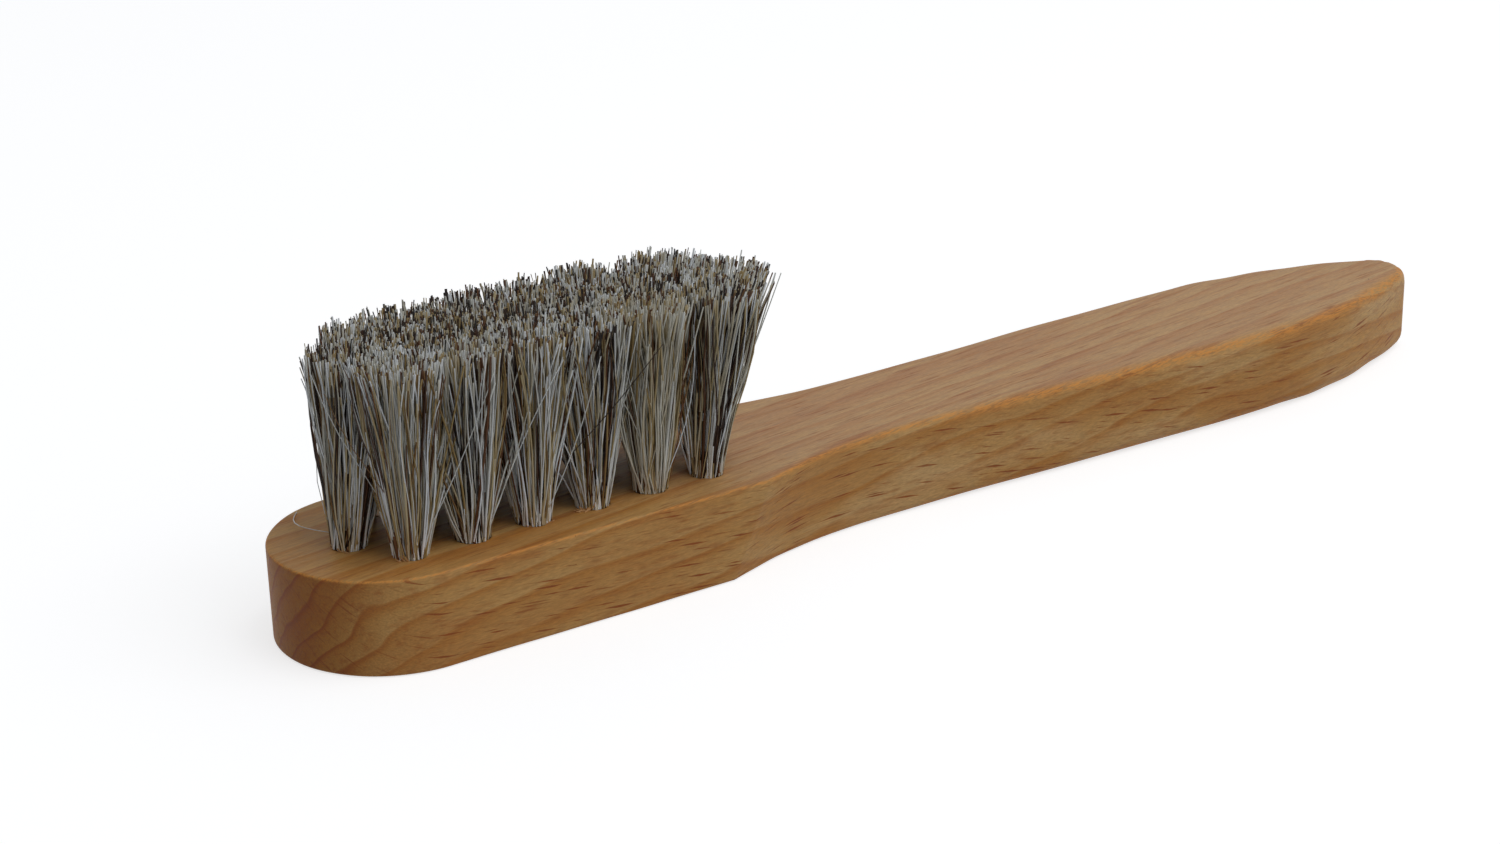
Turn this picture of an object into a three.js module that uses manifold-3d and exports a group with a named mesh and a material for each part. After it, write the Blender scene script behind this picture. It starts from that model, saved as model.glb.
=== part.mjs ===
// Shoe polish applicator brush: a flat beech board with a round head and a slim handle, drilled
// for three staggered rows of horsehair tufts. Each tuft is folded in half under the crown of a
// wire staple, whose legs are driven into the wood below the floor of its hole.
// Millimetres. +X runs from the head to the end of the handle, +Z from the board to the hair tips.
import * as THREE from "three";
import { mergeGeometries, mergeVertices } from "three/addons/utils/BufferGeometryUtils.js";
import Module from "manifold-3d";

// The board, with X measured from the tip of the head and half widths from its centre line
const LENGTH = 180;
const THICKNESS = 11.8;
const HEAD_HALF_WIDTH = 14;
const SHOULDER_X = 58.3;
const WAIST_X = 83;
const WAIST_HALF_WIDTH = 9.75;
const NECK_LEAN = 5.3;
const GRIP_X = 144;
const GRIP_HALF_WIDTH = 12.05;
const END_RADIUS = 4.8;
const END_TAPER = THREE.MathUtils.degToRad(23.7);

// The arris, which is crisp round the head and sanded rounder where the hand holds the grip
const HEAD_ARRIS_RADIUS = 0.45;
const GRIP_ARRIS_RADIUS = 2;
const ARRIS_GROWS_FROM_X = 40;
const ARRIS_GROWS_TO_X = 130;

// How far each curve of the outline runs along its tangent before it turns
const SHOULDER_RUN = 6.5;
const SHOULDER_SLOPE = THREE.MathUtils.degToRad(18);
const NECK_RUN = 13;
const WAIST_RUN = 14;
const GRIP_RUN_TO_WAIST = 22;
const GRIP_RUN_TO_END = 11;
const END_RUN = 13;

// The tufts: pitch along a row, and the first tuft and count of each row
const TUFT_PITCH = 8.08;
const ROW_PITCH = 6.6;
const MIDDLE_ROW_Y = -0.6;
const ROWS = [
  { name: "near_row", firstX: 13.3, y: MIDDLE_ROW_Y - ROW_PITCH, count: 6 },
  { name: "middle_row", firstX: 8.9, y: MIDDLE_ROW_Y, count: 7 },
  { name: "far_row", firstX: 13.3, y: MIDDLE_ROW_Y + ROW_PITCH, count: 6 },
];
const FIELD_CENTRE_X = 33.1;

// A drilled hole, the hair packed into it, and the slice of wood under the holes of a row
const HOLE_RADIUS = 1.95;
const HOLE_DEPTH = 6.5;
const ROOT_RADIUS = 1.62;
const ROOT_RECESS = 0.8;
const SLICE_HALF_WIDTH = 2.6;
const SLICE_THICKNESS = 2.6;
const GAP = 0.3;
const OVERLAP = 0.3;

// The hair: the strands of a tuft fan out from its hole to the trimmed top of the brush
const STRANDS_PER_TUFT = 18;
const TRIM_HEIGHT = 23.3;
const TRIM_WANDER = 0.45;
const DISC_AT_ROOT = 1.32;
const DISC_AT_TIP = 3.5;
const FIELD_SPREAD_X = 1.1;
const FIELD_SPREAD_Y = 1.05;
const STRAND_RINGS = [
  { height: 0, fan: 0, radius: 0.2 },
  { height: 0.55, fan: 0.61, radius: 0.4 },
  { height: 1, fan: 1, radius: 0.46 },
];

// The wire staple
const WIRE_RADIUS = 0.3;
const STAPLE_HALF_SPAN = 1.45;
const STAPLE_CROWN_HEIGHT = 2.2;
const STAPLE_BITE = 2;

// Facets
const ARRIS_STEPS = 3;
const HEAD_STEPS = 20;
const CURVE_STEPS = 12;
const END_STEPS = 7;
const HOLE_SIDES = 16;
const SLICE_END_STEPS = 6;
const STRAND_SIDES = 3;
const WIRE_SIDES = 5;
const CROWN_STEPS = 4;
const WIRE_STEPS = 10;

const HOLE_FLOOR_Z = THICKNESS - HOLE_DEPTH;
const ROOT_TOP_Z = THICKNESS - ROOT_RECESS;
const GOLDEN_ANGLE = Math.PI * (3 - Math.sqrt(5));

const wasm = await Module();
wasm.setup();

// One solid from closed geometries that don't touch each other.
function solidOf(...geometries) {
  const bare = geometries.map((geometry) => {
    const copy = geometry.index ? geometry.toNonIndexed() : geometry.clone();
    copy.deleteAttribute("normal");
    copy.deleteAttribute("uv");
    return copy;
  });
  const merged = mergeVertices(mergeGeometries(bare));
  return new wasm.Manifold(
    new wasm.Mesh({
      numProp: 3,
      vertProperties: merged.attributes.position.array,
      triVerts: new Uint32Array(merged.index.array),
    }),
  );
}

// A solid's surface as a geometry that a mesh can hold.
function geometryOf(solid) {
  const { vertProperties, triVerts } = solid.getMesh();
  const geometry = new THREE.BufferGeometry();
  geometry.setAttribute("position", new THREE.BufferAttribute(vertProperties, 3));
  geometry.setIndex(new THREE.BufferAttribute(triVerts, 1));
  geometry.computeVertexNormals();
  return geometry;
}

// Rings of equal length, skinned one to the next. The caps stay open.
function skinOf(rings) {
  const count = rings[0].length;
  const triangles = [];
  for (let k = 0; k + 1 < rings.length; k++) {
    for (let i = 0; i < count; i++) {
      const a = k * count + i;
      const b = k * count + ((i + 1) % count);
      triangles.push(a, b, b + count, a, b + count, a + count);
    }
  }
  return triangles;
}

// A closed geometry from rings and a list of triangles that caps one ring, seen from above.
function cappedRings(rings, cap) {
  const top = (rings.length - 1) * rings[0].length;
  const triangles = skinOf(rings);
  for (const [a, b, c] of cap) {
    triangles.push(a, c, b);
    triangles.push(top + a, top + b, top + c);
  }
  const geometry = new THREE.BufferGeometry().setFromPoints(rings.flat());
  geometry.setIndex(triangles);
  return geometry;
}

// Points on a regular polygon about a centre.
function polygon(sides, radius, turn = 0) {
  return Array.from({ length: sides }, (_, i) => {
    const angle = turn + (i * 2 * Math.PI) / sides;
    return new THREE.Vector2(radius * Math.cos(angle), radius * Math.sin(angle));
  });
}

// Half of the board's outline, from the tip of the head to the tip of the handle, with half widths
// as Y. The neck was sawn at a lean, so lower in the board its curve lies nearer to the head.
function halfOutline(lean) {
  const v = (x, y) => new THREE.Vector2(x, y);
  const ahead = (point, run, slope) =>
    v(point.x + run * Math.cos(slope), point.y - run * Math.sin(slope));
  const bend = (from, runOut, slopeOut, to, runIn, slopeIn) =>
    new THREE.CubicBezierCurve(
      from,
      ahead(from, runOut, slopeOut),
      ahead(to, -runIn, slopeIn),
      to,
    );
  const cheek = v(HEAD_HALF_WIDTH, HEAD_HALF_WIDTH);
  const shoulder = v(SHOULDER_X - lean, HEAD_HALF_WIDTH);
  const waist = v(WAIST_X - lean, WAIST_HALF_WIDTH);
  const grip = v(GRIP_X, GRIP_HALF_WIDTH);
  const endX = LENGTH - END_RADIUS;
  const endAngle = Math.PI / 2 - END_TAPER;
  const end = ahead(v(endX, 0), END_RADIUS, -endAngle);
  const stretches = [
    [new THREE.EllipseCurve(cheek.x, 0, cheek.x, cheek.y, Math.PI, Math.PI / 2, true), HEAD_STEPS],
    [new THREE.LineCurve(cheek, shoulder), 1],
    [bend(shoulder, SHOULDER_RUN, SHOULDER_SLOPE, waist, NECK_RUN, 0), CURVE_STEPS],
    [bend(waist, WAIST_RUN, 0, grip, GRIP_RUN_TO_WAIST, 0), CURVE_STEPS],
    [bend(grip, GRIP_RUN_TO_END, 0, end, END_RUN, END_TAPER), CURVE_STEPS],
    [new THREE.EllipseCurve(endX, 0, END_RADIUS, END_RADIUS, endAngle, 0, true), END_STEPS],
  ];
  const points = stretches.flatMap(([curve, steps]) => curve.getPoints(steps).slice(0, -1));
  return [...points, v(LENGTH, 0)];
}

// The outline of the underside or the face as a closed loop, anticlockwise from above, moved in and
// up or down on the quarter circle of its arris. The angle is 0 on the flat and 90 degrees on the wall.
function boardRing(lean, flatZ, towardsWall, angle) {
  const { lerp, smoothstep } = THREE.MathUtils;
  const half = halfOutline(lean);
  const nearSide = half.map((p) => new THREE.Vector2(p.x, -p.y));
  const farSide = half.slice(1, -1).reverse();
  const loop = [...nearSide, ...farSide];
  return loop.map((point, i) => {
    const before = loop.at(i - 1);
    const after = loop[(i + 1) % loop.length];
    const along = after.clone().sub(before).normalize();
    const growth = smoothstep(point.x, ARRIS_GROWS_FROM_X, ARRIS_GROWS_TO_X);
    const radius = lerp(HEAD_ARRIS_RADIUS, GRIP_ARRIS_RADIUS, growth);
    const inset = radius * (1 - Math.sin(angle));
    const z = flatZ + towardsWall * radius * (1 - Math.cos(angle));
    return new THREE.Vector3(point.x - along.y * inset, point.y + along.x * inset, z);
  });
}

// The board before drilling: rings from its underside to its face, with rounded arrises. Each cap
// is a ladder of triangles between the near side and the far side.
function boardGeometry() {
  const angles = Array.from({ length: ARRIS_STEPS + 1 }, (_, k) => (k * Math.PI) / 2 / ARRIS_STEPS);
  const rings = [
    ...angles.map((angle) => boardRing(NECK_LEAN, 0, 1, angle)),
    ...angles.toReversed().map((angle) => boardRing(0, THICKNESS, -1, angle)),
  ];
  const count = rings[0].length;
  const ladder = [[0, 1, count - 1]];
  for (let j = 1; j < count / 2; j++) {
    const across = count - j;
    ladder.push([j, j + 1, across]);
    if (across - 1 > j + 1) ladder.push([j + 1, across - 1, across]);
  }
  return cappedRings(rings, ladder);
}

// An upright cylinder between two heights.
function post(x, y, radius, lowZ, highZ) {
  return new THREE.CylinderGeometry(radius, radius, highZ - lowZ, HOLE_SIDES)
    .rotateX(Math.PI / 2)
    .translate(x, y, (lowZ + highZ) / 2);
}

function tuftsOf(row) {
  return Array.from({ length: row.count }, (_, i) => ({
    stapleName: `${row.name}_staple_${i + 1}`,
    x: row.firstX + i * TUFT_PITCH,
    y: row.y,
  }));
}

// The wood under the holes of a row: a bar with round ends, grown on every side by a margin.
function rowSlice(row, margin) {
  const radius = SLICE_HALF_WIDTH + margin;
  const lastX = row.firstX + (row.count - 1) * TUFT_PITCH;
  const outline = new THREE.Shape()
    .absarc(row.firstX, row.y, radius, Math.PI / 2, (3 * Math.PI) / 2)
    .absarc(lastX, row.y, radius, -Math.PI / 2, Math.PI / 2);
  return new THREE.ExtrudeGeometry(outline, {
    depth: SLICE_THICKNESS + 2 * margin,
    bevelEnabled: false,
    curveSegments: SLICE_END_STEPS,
  }).translate(0, 0, HOLE_FLOOR_Z - SLICE_THICKNESS - margin);
}

// One strand from its root in the hole to its trimmed tip. The strands of a tuft start in a
// sunflower pattern, and keep that pattern at every height, only wider, so no two of them cross.
function strandGeometry(tuft, i) {
  const { lerp } = THREE.MathUtils;
  const outward = Math.sqrt((i + 0.5) / STRANDS_PER_TUFT);
  const turn = i * GOLDEN_ANGLE + tuft.x;
  const tipX = lerp(FIELD_CENTRE_X, tuft.x, FIELD_SPREAD_X);
  const tipY = tuft.y * FIELD_SPREAD_Y;
  const tipZ = THICKNESS + TRIM_HEIGHT + TRIM_WANDER * Math.sin(7 * turn);
  const rings = STRAND_RINGS.map(({ height, fan, radius }) => {
    const disc = outward * lerp(DISC_AT_ROOT, DISC_AT_TIP, fan);
    const x = lerp(tuft.x, tipX, fan) + disc * Math.cos(turn);
    const y = lerp(tuft.y, tipY, fan) + disc * Math.sin(turn);
    const z = lerp(ROOT_TOP_Z - OVERLAP, tipZ, height);
    return polygon(STRAND_SIDES, radius, turn).map((p) => new THREE.Vector3(x + p.x, y + p.y, z));
  });
  return cappedRings(rings, [[0, 1, 2]]);
}

// The bent wire: two legs in the wood and a round crown across the fold of the hair.
function stapleGeometry(tuft) {
  const rise = STAPLE_HALF_SPAN / 2;
  const springZ = HOLE_FLOOR_Z + STAPLE_CROWN_HEIGHT - WIRE_RADIUS - rise;
  const at = (y, z) => new THREE.Vector3(tuft.x, tuft.y + y, z);
  const crown = Array.from({ length: CROWN_STEPS + 1 }, (_, i) => {
    const angle = Math.PI - (i * Math.PI) / CROWN_STEPS;
    return at(STAPLE_HALF_SPAN * Math.cos(angle), springZ + rise * Math.sin(angle));
  });
  const path = new THREE.CatmullRomCurve3([
    at(-STAPLE_HALF_SPAN, HOLE_FLOOR_Z - STAPLE_BITE),
    ...crown,
    at(STAPLE_HALF_SPAN, HOLE_FLOOR_Z - STAPLE_BITE),
  ]);
  const section = new THREE.Shape(polygon(WIRE_SIDES, WIRE_RADIUS));
  return new THREE.ExtrudeGeometry(section, { extrudePath: path, steps: WIRE_STEPS });
}

// The room that a staple takes up in the hair and the wood: a flat-sided arch round the wire.
function stapleRoom(tuft) {
  const reach = WIRE_RADIUS + GAP;
  const outer = STAPLE_HALF_SPAN + reach;
  const inner = STAPLE_HALF_SPAN - reach;
  const footZ = HOLE_FLOOR_Z - STAPLE_BITE - GAP;
  const crownZ = HOLE_FLOOR_Z + STAPLE_CROWN_HEIGHT + GAP;
  const archZ = crownZ - 2 * reach;
  const springZ = archZ - STAPLE_HALF_SPAN / 2;
  const arch = new THREE.Shape()
    .moveTo(-outer, footZ)
    .lineTo(-inner, footZ)
    .lineTo(-inner, springZ)
    .lineTo(-inner / 2, archZ)
    .lineTo(inner / 2, archZ)
    .lineTo(inner, springZ)
    .lineTo(inner, footZ)
    .lineTo(outer, footZ)
    .lineTo(outer, crownZ)
    .lineTo(-outer, crownZ);
  return new THREE.ExtrudeGeometry(arch, { depth: 2 * reach, bevelEnabled: false })
    .rotateX(Math.PI / 2)
    .rotateZ(Math.PI / 2)
    .translate(tuft.x - reach, tuft.y, 0);
}

function namedMesh(name, geometry, finish) {
  const mesh = new THREE.Mesh(geometry, new THREE.MeshStandardMaterial(finish));
  mesh.name = name;
  return mesh;
}

// The board with its holes, and below each row of holes a slot that holds the row's slice.
function beechHandle() {
  const holes = ROWS.flatMap(tuftsOf).map(({ x, y }) =>
    post(x, y, HOLE_RADIUS, HOLE_FLOOR_Z, THICKNESS + OVERLAP),
  );
  const slots = ROWS.map((row) => rowSlice(row, GAP));
  const board = solidOf(boardGeometry()).subtract(solidOf(...holes)).subtract(solidOf(...slots));
  const waxedBeech = { color: 0xb07f4e, roughness: 0.5, metalness: 0 };
  return namedMesh("beech_handle", geometryOf(board), waxedBeech);
}

// The hair of a row: the root of each tuft fills its hole, and its strands rise from the root.
function bristleRow(row) {
  const tufts = tuftsOf(row);
  const roots = tufts.map(({ x, y }) =>
    post(x, y, ROOT_RADIUS, HOLE_FLOOR_Z - OVERLAP, ROOT_TOP_Z),
  );
  const strands = tufts.flatMap((tuft) =>
    Array.from({ length: STRANDS_PER_TUFT }, (_, i) => strandGeometry(tuft, i)),
  );
  const hair = solidOf(rowSlice(row, 0))
    .add(solidOf(...roots))
    .add(solidOf(...strands))
    .subtract(solidOf(...tufts.map(stapleRoom)));
  const greyHorsehair = { color: 0x8d7c68, roughness: 0.6, metalness: 0 };
  return namedMesh(`${row.name}_bristles`, geometryOf(hair), greyHorsehair);
}

function staplesOf(row) {
  const drawnSteel = { color: 0x9b9a97, roughness: 0.35, metalness: 1 };
  return tuftsOf(row).map((tuft) => namedMesh(tuft.stapleName, stapleGeometry(tuft), drawnSteel));
}

// Everything is laid out from the tip of the head, then centred on the middle of the underside.
const fromHeadTip = new THREE.Group();
fromHeadTip.position.x = -LENGTH / 2;
fromHeadTip.add(beechHandle(), ...ROWS.map(bristleRow), ...ROWS.flatMap(staplesOf));

const brush = new THREE.Group();
brush.add(fromHeadTip);

export default brush;
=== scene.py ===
# %% [markdown]
# # A shoe polish applicator brush
#
# The brush is a flat beech board with a round head and a slim handle. Three staggered rows of holes
# in the head hold nineteen tufts of grey horsehair, each folded in half under a wire staple. The
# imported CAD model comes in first, as a fixed frame. Every new surface is worked out in that frame, in
# metres, so nothing has to be fitted afterwards.

# %% Load the frame
import math
from functools import partial

import bpy
import numpy as np
from mathutils import Matrix, Vector
from mathutils.geometry import delaunay_2d_cdt


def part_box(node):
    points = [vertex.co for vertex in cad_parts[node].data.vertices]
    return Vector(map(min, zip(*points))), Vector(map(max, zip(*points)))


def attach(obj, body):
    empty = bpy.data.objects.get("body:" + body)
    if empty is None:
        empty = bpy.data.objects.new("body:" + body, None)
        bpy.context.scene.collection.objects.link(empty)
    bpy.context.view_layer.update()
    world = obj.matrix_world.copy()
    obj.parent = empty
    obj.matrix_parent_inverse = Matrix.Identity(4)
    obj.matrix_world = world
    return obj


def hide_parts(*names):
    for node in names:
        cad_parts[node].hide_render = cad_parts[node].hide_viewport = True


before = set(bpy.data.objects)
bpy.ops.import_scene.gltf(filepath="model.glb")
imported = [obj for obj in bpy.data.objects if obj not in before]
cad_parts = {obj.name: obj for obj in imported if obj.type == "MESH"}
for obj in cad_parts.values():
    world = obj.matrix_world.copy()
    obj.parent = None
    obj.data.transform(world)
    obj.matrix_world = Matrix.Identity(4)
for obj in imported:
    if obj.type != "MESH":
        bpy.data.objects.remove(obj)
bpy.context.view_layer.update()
MM = 0.001
BODY = "root"
print("nodes in the frame:", len(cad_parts))

# %% [markdown]
# ## The camera
#
# The brush is seen from its near side, from beyond the head and a little above the hair. The place,
# the aim and the lens were found from the board's straight arrises and the even pitch of the holes. A
# tracking constraint could aim the camera too, but three turns in a row say plainly what was
# measured: a turn from straight ahead, a dip, and a slight roll.

# %% Place the camera
CAMERA_PLACE = Vector((-208.3, -271.9, 138.7)) * MM
CAMERA_TURN = math.radians(34.0)
CAMERA_DIP = math.radians(20.9)
CAMERA_ROLL = math.radians(-1.45)
LENS_MM = 67.3
SENSOR_MM = 36
NEAREST_SEEN = 10 * MM

camera_data = bpy.data.cameras.new("photo_camera")
camera_data.sensor_width = SENSOR_MM
camera_data.lens = LENS_MM
camera_data.clip_start = NEAREST_SEEN
camera = bpy.data.objects.new("photo_camera", camera_data)
camera.matrix_world = (
    Matrix.Translation(CAMERA_PLACE)
    @ Matrix.Rotation(-CAMERA_TURN, 4, "Z")
    @ Matrix.Rotation(math.pi / 2 - CAMERA_DIP, 4, "X")
    @ Matrix.Rotation(CAMERA_ROLL, 4, "Z")
)
scene = bpy.context.scene
scene.collection.objects.link(camera)
scene.camera = camera
print("camera at", [round(c / MM, 1) for c in CAMERA_PLACE], "mm")

# %% [markdown]
# ## The outline of the board
#
# The board was sawn from one flat plank. Its outline is half a circle at the head, straight flanks,
# a hollow neck, a grip that swells, and a blunt round end. It could be traced point by point, but a
# few arcs and Bezier curves with named runs are shorter, smooth at any density, and easy to change.
# The neck was sawn at a slight lean, so lower in the board its curve lies nearer to the head.

# %% Driving dimensions of the board
board_low, board_high = (np.array(corner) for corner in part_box("beech_handle"))
HEAD_TIP_X, END_TIP_X = board_low[0], board_high[0]
HEAD_HALF_WIDTH = board_high[1]
THICKNESS = board_high[2]
SHOULDER_X = HEAD_TIP_X + 58.3 * MM
SHOULDER_SLOPE = math.radians(18)
SHOULDER_RUN = 6.5 * MM
WAIST_X = HEAD_TIP_X + 83 * MM
WAIST_HALF_WIDTH = 9.75 * MM
WAIST_RUN_IN, WAIST_RUN_OUT = 13 * MM, 14 * MM
NECK_LEAN = 5.3 * MM
GRIP_X = HEAD_TIP_X + 144 * MM
GRIP_HALF_WIDTH = 12.05 * MM
GRIP_RUN_IN, GRIP_RUN_OUT = 22 * MM, 11 * MM
END_RADIUS = 4.8 * MM
END_TAPER = math.radians(23.7)
END_RUN = 13 * MM
print("board", np.round((board_high - board_low) / MM, 1), "mm")


# %% One Bezier stretch of the outline
def bend(start, run_out, slope_out, end, run_in, slope_in, t):
    """A cubic Bezier curve from start to end. Each inner control point lies one run along the
    tangent at its end, and the four points are weighted by the Bernstein polynomials of t."""
    weights = ((1 - t) ** 3, 3 * t * (1 - t) ** 2, 3 * t**2 * (1 - t), t**3)
    first_x = start[0] + run_out * math.cos(slope_out)
    first_y = start[1] - run_out * math.sin(slope_out)
    second_x = end[0] - run_in * math.cos(slope_in)
    second_y = end[1] + run_in * math.sin(slope_in)
    x = sum(w * p for w, p in zip(weights, (start[0], first_x, second_x, end[0])))
    y = sum(w * p for w, p in zip(weights, (start[1], first_y, second_y, end[1])))
    return x, y


# %% Half of the outline
STRETCH_STEPS = 48


def half_outline(lean):
    """Half widths against X, from the tip of the head to the tip of the handle: a quarter circle, a
    straight line, three Bezier curves and an arc. Lean is a column, one value for each height."""
    t = np.linspace(0, 1, STRETCH_STEPS, endpoint=False)
    cheek_x = HEAD_TIP_X + HEAD_HALF_WIDTH
    shoulder = (SHOULDER_X - lean, HEAD_HALF_WIDTH)
    waist = (WAIST_X - lean, WAIST_HALF_WIDTH)
    grip = (GRIP_X, GRIP_HALF_WIDTH)
    end_x = END_TIP_X - END_RADIUS
    end_angle = math.pi / 2 - END_TAPER
    end = (end_x + END_RADIUS * math.cos(end_angle), END_RADIUS * math.sin(end_angle))
    round_head = t * math.pi / 2
    round_end = end_angle * (1 - t)
    stretches = [
        (cheek_x - HEAD_HALF_WIDTH * np.cos(round_head), HEAD_HALF_WIDTH * np.sin(round_head)),
        (cheek_x + t * (shoulder[0] - cheek_x), np.full_like(t, HEAD_HALF_WIDTH)),
        bend(shoulder, SHOULDER_RUN, SHOULDER_SLOPE, waist, WAIST_RUN_IN, 0, t),
        bend(waist, WAIST_RUN_OUT, 0, grip, GRIP_RUN_IN, 0, t),
        bend(grip, GRIP_RUN_OUT, 0, end, END_RUN, END_TAPER, t),
        (end_x + END_RADIUS * np.cos(round_end), END_RADIUS * np.sin(round_end)),
        (np.array([END_TIP_X]), np.array([0.0])),
    ]
    x = np.hstack([np.broadcast_to(s[0], (len(lean), s[0].shape[-1])) for s in stretches])
    y = np.hstack([np.broadcast_to(s[1], (len(lean), s[1].shape[-1])) for s in stretches])
    return x, y


# %% [markdown]
# ## The edge of the board
#
# The edges of the real board were broken on a sanding belt, lightly round the head and more freely
# along the grip, where the hand holds it. A Bevel modifier gives one width all round, so the edge
# is made as a profile carried along the outline: a quarter circle at the underside, the sawn wall,
# and a quarter circle at the face, with a radius that grows towards the end of the handle. A narrow
# flat ledge above and below keeps the shading of the two flat faces level.

# %% The profile of the edge
ARRIS_STEPS = 8
WALL_STEPS = 10
LEDGE = 0.25 * MM


def edge_profile():
    """Rows of the edge, as columns of three things: the angle turned since the underside, the share
    of the wall climbed, and the width of the ledge."""
    quarter = np.linspace(0, math.pi / 2, ARRIS_STEPS + 1)
    wall = np.linspace(0, 1, WALL_STEPS + 1)[1:-1]
    turned = np.r_[0, quarter, np.full(len(wall), math.pi / 2), quarter + math.pi / 2, math.pi]
    climbed = np.r_[np.zeros(ARRIS_STEPS + 2), wall, np.ones(ARRIS_STEPS + 2)]
    ledge = np.r_[LEDGE, np.zeros(len(turned) - 2), LEDGE]
    return turned[:, None], climbed[:, None], ledge[:, None]


# %% The edge as a grid of heights by places along the outline
HEAD_ARRIS = 0.4 * MM
GRIP_ARRIS = 2.0 * MM
ARRIS_GROWS = HEAD_TIP_X + np.array([40, 130]) * MM
ARRIS_WANDER = 0.3
ARRIS_WAVES = np.arange(5, 45, 4)[:, None]
arris_random = np.random.default_rng(3)


def edge_surface():
    """Inset = r (1 - sin a) and height = r (1 - cos a) below, T - r (1 + cos a) above, where a is
    the angle turned and r the arris radius, which grows along the handle on a smooth step and wanders
    by the mean of a few random sines. The inset moves a point in along the outline's normal. Returns
    the points, and how far each carries the burnishing and the painted highlight of the arris: the
    fourth power of sin 2a."""
    turned, climbed, ledge = edge_profile()
    x, half_width = half_outline(NECK_LEAN * (1 - climbed))
    x = np.hstack([x, x[:, -2:0:-1]])
    y = np.hstack([-half_width, half_width[:, -2:0:-1]])
    round_board = np.linspace(0, 2 * math.pi, x.shape[1], endpoint=False)
    phase = arris_random.uniform(0, 2 * math.pi, ARRIS_WAVES.shape)
    wander = 1 + ARRIS_WANDER * np.sin(ARRIS_WAVES * round_board + phase).mean(axis=0)
    grown = np.clip((x - ARRIS_GROWS[0]) / np.ptp(ARRIS_GROWS), 0, 1)
    radius = wander * (HEAD_ARRIS + (GRIP_ARRIS - HEAD_ARRIS) * grown**2 * (3 - 2 * grown))
    inset = radius * (1 - np.sin(turned)) + ledge
    low = radius * (1 - np.cos(turned))
    high = THICKNESS - radius * (1 + np.cos(turned))
    z = (1 - climbed) * low + climbed * high
    along_x, along_y = (np.roll(c, -1, axis=1) - np.roll(c, 1, axis=1) for c in (x, y))
    step = np.hypot(along_x, along_y)
    grid = np.stack([x - inset * along_y / step, y + inset * along_x / step, z], axis=-1)
    # How far each point carries the burnishing, which is also where the arris's painted highlight lies.
    burnish_and_highlight = np.broadcast_to(np.sin(2 * turned) ** 4, x.shape)
    return grid, burnish_and_highlight


edge, burnish_and_highlight = edge_surface()
print("edge grid", edge.shape[:2], "rows by points")

# %% [markdown]
# ## The drilled holes
#
# Each tuft sits in a hole of about 4 mm, drilled to half the depth of the board. The drill tears the
# fibres a little where it comes in, so a rim is never quite sharp or even. Boolean cuts would leave
# ragged shading, so each hole is a surface of revolution and the face is triangulated round it. The
# staples of the frame stand in the middle of the holes, and give their places.

# %% Where the tufts are
ROWS = ("near_row", "middle_row", "far_row")


def tuft_centres(row):
    """The middle of each staple's box, seen from above, in the order of the staples' numbers."""
    names = [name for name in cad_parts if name.startswith(row + "_staple_")]
    names.sort(key=lambda name: int(name.rsplit("_", 1)[1]))
    return np.array([np.mean(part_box(name), axis=0)[:2] for name in names])


centres = {row: tuft_centres(row) for row in ROWS}
all_centres = np.vstack(list(centres.values()))
print("tufts in each row:", {row: len(c) for row, c in centres.items()})

# %% The surface of one hole
HOLE_RADIUS = 1.86 * MM
HOLE_DEPTH = 6.5 * MM
HOLE_SIDES = 48
RIM_RADIUS = 0.05 * MM
RIM_TEAR = 0.7
RIM_WAVES = np.array([3, 5, 8, 13])[:, None]
RIM_STEPS = 5
hole_random = np.random.default_rng(11)


def hole_surface(centre):
    """A quarter circle at the rim, then the wall down to the floor, turned about the hole's axis.
    The rim's radius wanders with the angle by the mean of a few random sines."""
    angle = np.linspace(0, 2 * math.pi, HOLE_SIDES, endpoint=False)
    phase = hole_random.uniform(0, 2 * math.pi, RIM_WAVES.shape)
    rim = RIM_RADIUS * (1 + RIM_TEAR * np.sin(RIM_WAVES * angle + phase).mean(axis=0))
    quarter = np.linspace(0, math.pi / 2, RIM_STEPS)[:, None]
    rim_radius = HOLE_RADIUS + rim * (1 - np.sin(quarter))
    rim_height = THICKNESS - rim * (1 - np.cos(quarter))
    ledge_radius = HOLE_RADIUS + rim + LEDGE
    wall_radius = np.full((2, HOLE_SIDES), HOLE_RADIUS)
    wall_height = THICKNESS - np.array([[HOLE_DEPTH / 2], [HOLE_DEPTH]]) + 0 * angle
    radius = np.vstack([ledge_radius, rim_radius, wall_radius])
    height = np.vstack([np.full_like(angle, THICKNESS), rim_height, wall_height])
    x = centre[0] + radius * np.cos(angle)
    y = centre[1] + radius * np.sin(angle)
    return np.stack([x, y, height], axis=-1)


holes = [hole_surface(centre) for centre in all_centres]
print("holes", len(holes), "with", holes[0].shape[:2], "rows by points")


# %% [markdown]
# ## Joining the grids into one mesh
#
# The edge, the holes and the two flat faces share their border points, so the board is one closed
# mesh with no seam. The faces are filled by a constrained Delaunay triangulation, which takes the
# border loops as they are and adds no points. A general helper then puts any arrays into a mesh.

# %% Faces of grids and between loops
TRIANGLES_INSIDE = 1
MERGE_DISTANCE = 1e-9


def grid_quads(rows, columns, start=0):
    """The quads of a grid that closes on itself sideways: each cell's four corners, in order."""
    row, column = np.meshgrid(np.arange(rows - 1), np.arange(columns), indexing="ij")
    after = (column + 1) % columns
    quads = np.stack([row * columns + column, row * columns + after], axis=-1)
    upper = np.stack([(row + 1) * columns + after, (row + 1) * columns + column], axis=-1)
    return start + np.concatenate([quads, upper], axis=-1).reshape(-1, 4)


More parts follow.
